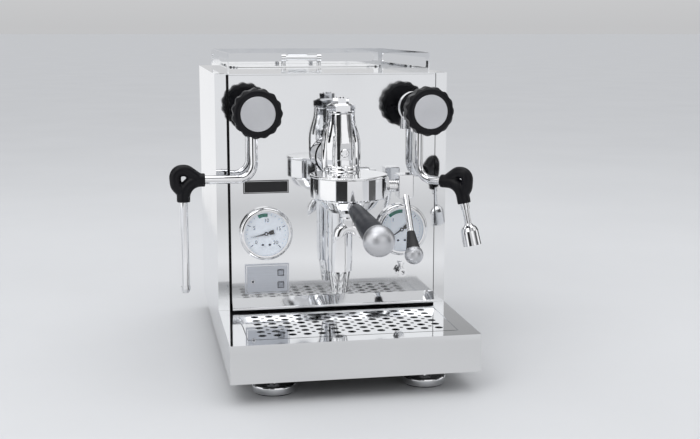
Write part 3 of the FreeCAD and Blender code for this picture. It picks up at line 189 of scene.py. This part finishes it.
def moulded(name, colour, roughness, grain=0.0005, strength=0.2, dust=1.6, level=0.5):
    """Rubber or plastic: fine grain, a little dust and handling shine."""
    s = Shader(name, colour, roughness, Specular_IOR_Level=level)
    s.vary_roughness(s.noise(0.015, 5.0), roughness - 0.07, roughness + 0.09)
    s.vary_colour(s.noise(0.02, 6.0), colour, shade(colour, dust))
    s.bump(s.noise(grain, 2.0), strength, 0.00008)
    return s.material


def powder_coat(name, colour, roughness):
    """Baked paint with a slight orange peel."""
    s = Shader(name, colour, roughness)
    s.vary_roughness(s.noise(0.01, 3.0), roughness - 0.05, roughness + 0.08)
    s.vary_colour(s.noise(0.04, 4.0), shade(colour, 0.85), shade(colour, 1.1))
    s.bump(s.noise(0.0011, 3.0), 0.35, 0.00012)
    return s.material


def clear_glass(name):
    """Flat window glass that lets the lamps' light through to the dial."""
    s = Shader(name, (1.0, 1.0, 1.0), 0.02, Transmission_Weight=1.0, IOR=1.45)
    s.vary_roughness(s.noise(0.03, 3.0), 0.0, 0.03)
    path = s.node("ShaderNodeLightPath")
    clear = s.node("ShaderNodeBsdfTransparent")
    mix = s.node("ShaderNodeMixShader")
    s.link(path.outputs["Is Shadow Ray"], mix.inputs[0])
    s.link(s.bsdf.outputs[0], mix.inputs[1])
    s.link(clear.outputs[0], mix.inputs[2])
    s.link(mix.outputs[0], s.tree.nodes["Material Output"].inputs["Surface"])
    return s.material


def frosted_plastic(name, colour):
    """Milky clear plastic of the water tank."""
    s = Shader(name, colour, 0.35, Transmission_Weight=0.75, IOR=1.49)
    s.vary_roughness(s.noise(0.02, 4.0), 0.28, 0.42)
    s.bump(s.noise(0.0009, 2.0), 0.2, 0.0001)
    return s.material


def paper_with_painted_glow(name, colour, glow):
    """Bright card behind a gauge glass, with painted light: the card glows a little though it is no
    lamp, which lifts it inside its case.
    """
    s = Shader(name, colour, 0.5, Emission_Color=(*colour, 1), Emission_Strength=glow)
    s.vary_colour(s.noise(0.01, 4.0), shade(colour, 0.97), colour)
    s.vary_roughness(s.noise(0.004, 3.0), 0.42, 0.55)
    s.bump(s.noise(0.0003, 2.0), 0.1, 0.00003)
    return s.material


def lamp_lens(name, colour):
    """Unlit glossy lens of a signal lamp."""
    s = Shader(name, colour, 0.2)
    s.vary_roughness(s.noise(0.002, 3.0), 0.12, 0.3)
    return s.material


materials = {
    "polished_steel": mirror_steel("polished_steel", (0.86, 0.87, 0.885)),
    "frame_steel": powder_coat("frame_steel", (0.035, 0.035, 0.038), 0.5),
    "chrome": chrome("chrome", (0.88, 0.885, 0.90)),
    "satin_aluminium": satin_metal("satin_aluminium", (0.66, 0.67, 0.70), 0.40, 0.90),
    "black_rubber": moulded("black_rubber", (0.003, 0.003, 0.0045), 0.34, dust=1.5, level=0.22),
    "grip_grey": moulded("grip_grey", (0.014, 0.016, 0.022), 0.42, grain=0.0004, dust=1.25, level=0.35),
    "clear_glass": clear_glass("clear_glass"),
    # The dial card's glow is painted light: it emits though it is no lamp.
    "dial_white": paper_with_painted_glow("dial_white", (0.86, 0.92, 1.0), glow=0.17),
    "needle_black": moulded("needle_black", (0.012, 0.012, 0.012), 0.4),
    "tank_plastic": frosted_plastic("tank_plastic", (0.86, 0.90, 0.92)),
    "boiler_copper": satin_metal("boiler_copper", (0.72, 0.38, 0.25), 0.30, 0.72, 0.001),
    "brass": satin_metal("brass", (0.72, 0.53, 0.26), 0.30, 0.75, 0.001),
    "display_grey": brushed("display_grey", (0.66, 0.69, 0.75), 0.42),
    "badge_black": moulded("badge_black", (0.004, 0.004, 0.005), 0.42, strength=0.04),
    "black_plastic": moulded("black_plastic", (0.020, 0.020, 0.022), 0.5, grain=0.0008, strength=0.35),
    "motor_grey": powder_coat("motor_grey", (0.16, 0.165, 0.175), 0.45),
    "button_grey": moulded("button_grey", (0.30, 0.32, 0.36), 0.42),
}
ink = moulded("dial_ink", (0.015, 0.015, 0.02), 0.5)
green_ink = moulded("green_ink", (0.005, 0.16, 0.11), 0.5)
lens_grey = lamp_lens("lamp_lens", (0.10, 0.11, 0.13))

for part in record["subparts"]:
    thing = nodes[part["node"]]
    thing.data.materials.clear()
    thing.data.materials.append(materials[part["material_slot"]])


# ---------------------------------------------------------------- broken edges
# How wide the edges of the bent sheets, castings and turned parts are rounded off.
BROKEN_EDGES = {
    "casing": 0.0006, "front_panel": 0.0006, "top_panel": 0.0006, "cup_rail": 0.0005,
    "drip_tray": 0.0008, "drip_grate": 0.0003, "tank_lid": 0.0004, "group_bell": 0.0005,
    "group_top_nut": 0.0005, "cam_nut": 0.0004, "lever_collar": 0.0003, "display_plate": 0.0003,
    "badge_plate": 0.0003, "lower_chamber": 0.0004, "drain_nozzle": 0.0004, "portafilter": 0.0004,
    "valve_bodies": 0.0003, "feet": 0.0003, "button_upper": 0.0003, "button_lower": 0.0003,
    "mains_switch": 0.0005, "power_inlet": 0.0004,
}
for name, width in BROKEN_EDGES.items():
    bevel = nodes[name].modifiers.new("broken_edges", "BEVEL")
    bevel.width = width
    bevel.segments = 2
    bevel.limit_method = "ANGLE"
    bevel.angle_limit = math.radians(40)
    bevel.harden_normals = True


# ---------------------------------------------------------------- helpers for new pieces
def mesh_piece(name, vertices, faces, material, smooth=False):
    """A new object with one material."""
    mesh = bpy.data.meshes.new(name)
    mesh.from_pydata([tuple(v) for v in vertices], [], faces)
    mesh.update()
    for face in mesh.polygons:
        face.use_smooth = smooth
    mesh.materials.append(material)
    piece = bpy.data.objects.new(name, mesh)
    bpy.context.scene.collection.objects.link(piece)
    return piece


def prism(vertices, faces, outline, y_back, y_front):
    """Adds a flat shape of (x, z) points that stands from y_back to y_front."""
    n = len(outline)
    base = len(vertices)
    vertices += [(x, y_back, z) for x, z in outline]
    vertices += [(x, y_front, z) for x, z in outline]
    faces.append([base + n + i for i in range(n)])
    faces.append([base + n - 1 - i for i in range(n)])
    for i in range(n):
        j = (i + 1) % n
        faces.append([base + i, base + j, base + n + j, base + n + i])


def digits(text, x, y, z, height):
    """Flat numerals, as vertices and faces in the dial's plane."""
    curve = bpy.data.curves.new("numeral", "FONT")
    curve.body = text
    curve.size = height
    curve.align_x = "CENTER"
    curve.align_y = "CENTER"
    curve.extrude = 0.00002
    holder = bpy.data.objects.new("numeral", curve)
    bpy.context.scene.collection.objects.link(holder)
    bpy.context.view_layer.update()
    flat = holder.evaluated_get(bpy.context.evaluated_depsgraph_get()).to_mesh()
    points = [(x + v.co.x, y - v.co.z, z + v.co.y) for v in flat.vertices]
    faces = [list(p.vertices) for p in flat.polygons]
    bpy.data.objects.remove(holder)
    bpy.data.curves.remove(curve)
    return points, faces


# ---------------------------------------------------------------- gauge faces
DIAL_PLATE = 0.001  # how thick the dial plates are
INK = 0.00005  # how thick the print on them is
START, SWEEP = 220.0, 265.0  # zero and full marks, where the needles stop
MAJOR_TICK = (0.78, 0.93, 1.0)  # inner and outer end in dial radii, half width in degrees
MINOR_TICK = (0.85, 0.90, 0.55)
FIGURE_RING = 0.60
FIGURE_HEIGHT = 0.0062
ZONE_RINGS = (0.93, 0.77)
DOT_OFFSET = (0.0042, 0.0135)
DOT_SIZE = (0.0016, 0.0013)

case_low, case_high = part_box("gauge_cases")
dial_low, dial_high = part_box("gauge_dials")
dial_z = (dial_low.z + dial_high.z) / 2
dial_radius = (dial_high.z - dial_low.z) / 2
dial_face_y = dial_high.y - DIAL_PLATE - 2 * INK
case_radius = (case_high.z - case_low.z) / 2


def at_angle(centre_x, degrees, share):
    """A point (x, z) on a dial, at a share of its radius."""
    a = math.radians(degrees)
    return centre_x + dial_radius * share * math.cos(a), dial_z + dial_radius * share * math.sin(a)


def circle(x, z, wide, tall, count):
    """Points (x, z) of an ellipse, with its two radii."""
    turns = [2 * math.pi * k / count for k in range(count)]
    return [(x + wide * math.cos(a), z + tall * math.sin(a)) for a in turns]


def make_dial(name, centre_x, full, step, minor, zone):
    """Scale ticks, numerals, the coloured zone and two fixing dots of a gauge."""
    vertices, faces = [], []
    count = full * minor // step
    for i in range(count + 1):
        angle = START - SWEEP * i / count
        inner, outer, half = MINOR_TICK if i % minor else MAJOR_TICK
        outline = [at_angle(centre_x, angle - half, inner), at_angle(centre_x, angle - half, outer),
                   at_angle(centre_x, angle + half, outer), at_angle(centre_x, angle + half, inner)]
        prism(vertices, faces, outline, dial_face_y + INK, dial_face_y)
    for i in range(0, count + 1, minor):
        angle = START - SWEEP * i / count
        x, z = at_angle(centre_x, angle, FIGURE_RING)
        points, added = digits(str(i // minor * step), x, dial_face_y, z, FIGURE_HEIGHT)
        base = len(vertices)
        vertices += points
        faces += [[base + k for k in face] for face in added]
    for side in (-1, 1):
        dot = circle(centre_x + side * DOT_OFFSET[0], dial_z - DOT_OFFSET[1], *DOT_SIZE, 20)
        prism(vertices, faces, dot, dial_face_y + INK, dial_face_y)
    scale = mesh_piece(name + "_scale", vertices, faces, ink)
    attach(scale, "machine")
    vertices, faces = [], []
    first, last = (START - SWEEP * v / full for v in zone)
    angles = [first + (last - first) * k / 8 for k in range(9)]
    outline = [at_angle(centre_x, angle, ZONE_RINGS[0]) for angle in angles]
    outline += [at_angle(centre_x, angle, ZONE_RINGS[1]) for angle in reversed(angles)]
    prism(vertices, faces, outline, dial_face_y + 0.8 * INK, dial_face_y - 0.6 * INK)
    band = mesh_piece(name + "_zone", vertices, faces, green_ink)
    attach(band, "machine")


make_dial("left_dial", case_low.x + case_radius, 20, 5, 5, (8, 10.2))
make_dial("right_dial", case_high.x - case_radius, 3, 1, 10, (1.0, 1.5))


# ---------------------------------------------------------------- mouldings and castings
def moulded_copy(node, body, voxel, rounds):
    """The node as one soft moulding or casting: the same solid with its creases run together."""
    source = nodes[node]
    piece = source.copy()
    piece.data = source.data.copy()
    piece.name = node + "_moulding"
    piece.parent = None
    for key in list(piece.keys()):
        if key.startswith("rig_"):
            del piece[key]
    bpy.context.scene.collection.objects.link(piece)
    remesh = piece.modifiers.new("remesh", "REMESH")
    remesh.mode = "VOXEL"
    remesh.voxel_size = voxel
    remesh.use_smooth_shade = True
    smooth = piece.modifiers.new("smooth", "SMOOTH")
    smooth.iterations = rounds
    smooth.factor = 0.5
    bpy.context.view_layer.update()
    made = bpy.data.meshes.new_from_object(piece.evaluated_get(bpy.context.evaluated_depsgraph_get()))
    piece.modifiers.clear()
    piece.data = made
    for face in made.polygons:
        face.use_smooth = True
    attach(piece, body)
    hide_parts(node)


moulded_copy("steam_grip", "steam_wand", 0.0006, 10)
moulded_copy("water_grip", "water_wand", 0.0006, 10)
moulded_copy("group_body", "machine", 0.0007, 8)
moulded_copy("spout", "portafilter", 0.0005, 8)


# ---------------------------------------------------------------- panel trim
TRIM_SUNK = 0.0001
TRIM_PROUD = 0.00015
LAMP_PLACE = (0.17, 0.42)  # shares of the display plate's width and height
LENS_PROFILE = ((0.0, 0.0009), (0.0008, 0.0008), (0.0014, 0.0004), (0.0016, 0.0))  # radius, height
RING_PROFILE = ((0.0016, -0.0001), (0.0016, 0.0005), (0.0022, 0.0005), (0.0024, -0.0001))
LAMP_SIDES = 24


def frame_line(name, node, inset, width, material, plate=None):
    """A thin raised line round the face of a plate, or round a button on it."""
    lo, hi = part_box(node)
    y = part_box(plate or node)[0].y
    vertices, faces = [], []
    x0, x1, z0, z1 = lo.x + inset, hi.x - inset, lo.z + inset, hi.z - inset
    bars = ((x0, x1, z0, z0 + width), (x0, x1, z1 - width, z1),
            (x0, x0 + width, z0 + width, z1 - width), (x1 - width, x1, z0 + width, z1 - width))
    for left, right, bottom, top in bars:
        outline = [(left, bottom), (right, bottom), (right, top), (left, top)]
        prism(vertices, faces, outline, y + TRIM_SUNK, y - TRIM_PROUD)
    line = mesh_piece(name, vertices, faces, material)
    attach(line, "machine")


def turned(profile, x, y, z):
    """Rings of points for each (radius, height) of a profile turned about the y axis."""
    rings = []
    for radius, height in profile:
        rings.append([(px, y - height, pz) for px, pz in circle(x, z, radius, radius, LAMP_SIDES)])
    return rings


def band(first, second, k):
    """The face between two rings of points, numbered from first and second."""
    n = (k + 1) % LAMP_SIDES
    return [first + k, first + n, second + n, second + k]


def make_lamp():
    """Signal lamp in the display plate: a dark lens in a bright ring."""
    lo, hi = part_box("display_plate")
    x = lo.x + (hi.x - lo.x) * LAMP_PLACE[0]
    z = lo.z + (hi.z - lo.z) * LAMP_PLACE[1]
    top = [(x, lo.y - LENS_PROFILE[0][1], z)]
    vertices = top + sum(turned(LENS_PROFILE[1:], x, lo.y, z), [])
    faces = []
    for k in range(LAMP_SIDES):
        faces.append([0, 1 + (k + 1) % LAMP_SIDES, 1 + k])
        faces += [band(1 + r * LAMP_SIDES, 1 + (r + 1) * LAMP_SIDES, k) for r in range(2)]
    lens = mesh_piece("display_lamp", vertices, faces, lens_grey, smooth=True)
    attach(lens, "machine")
    vertices = sum(turned(RING_PROFILE, x, lo.y, z), [])
    faces = [band(r * LAMP_SIDES, (r + 1) * LAMP_SIDES, k) for k in range(LAMP_SIDES) for r in range(3)]
    ring = mesh_piece("lamp_ring", vertices, faces, materials["chrome"])
    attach(ring, "machine")


frame_line("display_border", "display_plate", 0.0012, 0.0007, materials["polished_steel"])
for button in ("button_upper", "button_lower"):
    frame_line(button + "_outline", button, -0.0013, 0.0006, ink, plate="display_plate")
frame_line("badge_border", "badge_plate", 0.0009, 0.0004, materials["polished_steel"])
make_lamp()


# ---------------------------------------------------------------- floor and light
FLOOR_RADIUS = 70.0
SHEET_Z = 0.0015
SPOKE_Z = 0.003
# Grey against the height of the view: 0 at the horizon, 1 overhead.
SOFT_SKY = ((0.0, 0.575), (0.06, 0.66), (0.4, 0.95), (1.0, 1.0))
POLISH_SKY = ((0.0, 0.88), (0.12, 0.80), (0.32, 0.36), (0.60, 0.24), (0.80, 0.95), (1.0, 1.25))


def bearing_point(bearing, distance, z):
    """A point round the machine: bearing 0 is straight ahead of it, positive to its right."""
    a = math.radians(bearing)
    return (distance * math.sin(a), -distance * math.cos(a), z)


def for_polish_only(sheet):
    """A reflector or a dark card that only glossy surfaces see."""
    for ray in ("camera", "diffuse", "shadow", "transmission"):
        setattr(sheet, "visible_" + ray, False)


def set_stops(ramp, stops):
    """Grey stops of a colour ramp, very slightly cool."""
    for position, _ in stops[1:-1]:
        ramp.color_ramp.elements.new(position)
    for element, (position, grey) in zip(ramp.color_ramp.elements, stops):
        element.position = position
        element.color = (grey, grey * 1.005, grey * 1.02, 1)


def make_floor():
    """A plain pale floor that runs to the horizon."""
    s = Shader("floor", (0.61, 0.62, 0.635), 0.6, Specular_IOR_Level=0.0)
    s.vary_colour(s.noise(0.35, 5.0), (0.60, 0.61, 0.625), (0.62, 0.63, 0.645))
    s.vary_roughness(s.noise(0.2, 4.0), 0.55, 0.68)
    rim = [bearing_point(360 * k / 64, FLOOR_RADIUS, 0) for k in range(64)]
    mesh_piece("floor", rim, [list(range(64))], s.material)


def make_card(name, start, end, low, high, grey, glow=0.0, distance=1.5):
    """An upright curved card between two bearings, dark or glowing like a window."""
    s = Shader(name, (grey, grey, grey), 0.9, Emission_Color=(1, 1, 1, 1), Emission_Strength=glow)
    s.vary_roughness(s.noise(0.3), 0.85, 0.95)
    steps = 8
    points = []
    for k in range(steps + 1):
        bearing = start + (end - start) * k / steps
        points += [bearing_point(bearing, distance, low), bearing_point(bearing, distance, high)]
    faces = [[2 * k, 2 * k + 2, 2 * k + 3, 2 * k + 1] for k in range(steps)]
    for_polish_only(mesh_piece(name, points, faces, s.material))


def make_spoke(name, start, end, near, far):
    """A dark strip on the floor that widens away from the machine."""
    s = Shader(name, (0.02, 0.02, 0.022), 0.9)
    s.vary_roughness(s.noise(0.3), 0.85, 0.95)
    places = ((start, near), (end, near), (end, far), (start, far))
    corners = [bearing_point(bearing, distance, SPOKE_Z) for bearing, distance in places]
    for_polish_only(mesh_piece(name, corners, [[0, 1, 2, 3]], s.material))


def make_bounce(name, corners, near, far, stops):
    """A glowing sheet just above the floor; its grey follows the stops from near to far."""
    s = Shader(name, (0, 0, 0), 1.0, Emission_Strength=1.0)
    away = s.node("ShaderNodeVectorMath", operation="LENGTH")
    s.link(s.coordinates, away.inputs[0])
    ramp = s.node("ShaderNodeValToRGB")
    s.link(s.mapped(away.outputs["Value"], 0.0, 1.0, near, far), ramp.inputs["Fac"])
    set_stops(ramp, stops)
    s.link(ramp.outputs["Color"], s.bsdf.inputs["Emission Color"])
    points = [(x, y, SHEET_Z) for x, y in corners]
    for_polish_only(mesh_piece(name, points, [[0, 1, 2, 3]], s.material))


def make_light(name, place, aim, size, tall, power):
    """A soft rectangular lamp that the camera can't see."""
    data = bpy.data.lights.new(name, "AREA")
    data.shape = "RECTANGLE"
    data.size = size
    data.size_y = tall
    data.energy = power
    light = bpy.data.objects.new(name, data)
    bpy.context.scene.collection.objects.link(light)
    light.location = place
    light.rotation_euler = (Vector(aim) - Vector(place)).to_track_quat("-Z", "Y").to_euler()
    light.visible_camera = False


def make_world():
    """Pale all round; polished surfaces see it darken above the horizon, as in a room."""
    world = bpy.data.worlds.new("studio")
    world.use_nodes = True
    tree = world.node_tree
    coordinates = tree.nodes.new("ShaderNodeTexCoord")
    split = tree.nodes.new("ShaderNodeSeparateXYZ")
    tree.links.new(coordinates.outputs["Generated"], split.inputs["Vector"])
    mix = tree.nodes.new("ShaderNodeMixShader")
    path = tree.nodes.new("ShaderNodeLightPath")
    tree.links.new(path.outputs["Is Glossy Ray"], mix.inputs[0])
    for index, strength, stops in ((1, 0.95, SOFT_SKY), (2, 0.75, POLISH_SKY)):
        ramp = tree.nodes.new("ShaderNodeValToRGB")
        background = tree.nodes.new("ShaderNodeBackground")
        background.inputs["Strength"].default_value = strength
        set_stops(ramp, stops)
        tree.links.new(split.outputs["Z"], ramp.inputs["Fac"])
        tree.links.new(ramp.outputs["Color"], background.inputs["Color"])
        tree.links.new(background.outputs[0], mix.inputs[index])
    tree.links.new(mix.outputs[0], tree.nodes["World Output"].inputs["Surface"])
    bpy.context.scene.world = world


make_floor()
make_world()
make_bounce("bounce_front", ((-0.50, -0.45), (-0.2, -12), (3.4, -12), (0.60, -0.45)), 0.45, 2.4,
            ((0.0, 0.60), (0.13, 0.84), (0.40, 0.62), (0.80, 0.80), (1.0, 0.80)))
make_bounce("bounce_near", ((-0.40, -0.25), (-0.5, -0.45), (0.60, -0.45), (0.40, -0.25)), 0.2, 0.5,
            ((0.0, 0.55), (0.5, 0.62), (1.0, 0.60)))
make_bounce("bounce_left", ((-0.20, 0.45), (-0.20, 12), (-4.5, 12), (-0.9, -0.2)), 0.3, 4.0,
            ((0.0, 0.70), (0.4, 0.88), (1.0, 0.86)))
make_light("key", (-1.3, -1.3, 1.7), (0, 0, 0.2), 1.4, 1.4, 14)
make_light("fill", (1.6, -0.8, 1.1), (0, 0, 0.2), 1.0, 1.3, 3)
make_light("top", (0.0, 0.2, 2.0), (0, 0, 0.3), 2.0, 1.6, 9)
make_card("dark_ahead", -42, -12, 0.0, 1.1, 0.02)
make_card("window_left", -96, -44, 0.0, 1.2, 0.1, glow=1.0)
make_card("dark_left", -152, -104, 0.0, 1.0, 0.03)
make_card("window_ahead", -6, 34, 0.385, 1.1, 0.1, glow=0.92)
make_card("grey_right", 46, 70, 0.0, 1.0, 0.10)
make_card("window_right", 74, 98, 0.05, 1.1, 0.1, glow=0.95)
make_card("dark_right", 101, 150, 0.0, 1.1, 0.03)
make_card("dark_high", -60, 60, 1.75, 2.2, 0.03, distance=2.0)
make_spoke("spoke_left", -72, -66, 0.34, 1.2)
make_spoke("spoke_right", 35, 39, 0.40, 1.4)
bpy.context.scene.view_settings.view_transform = "Standard"
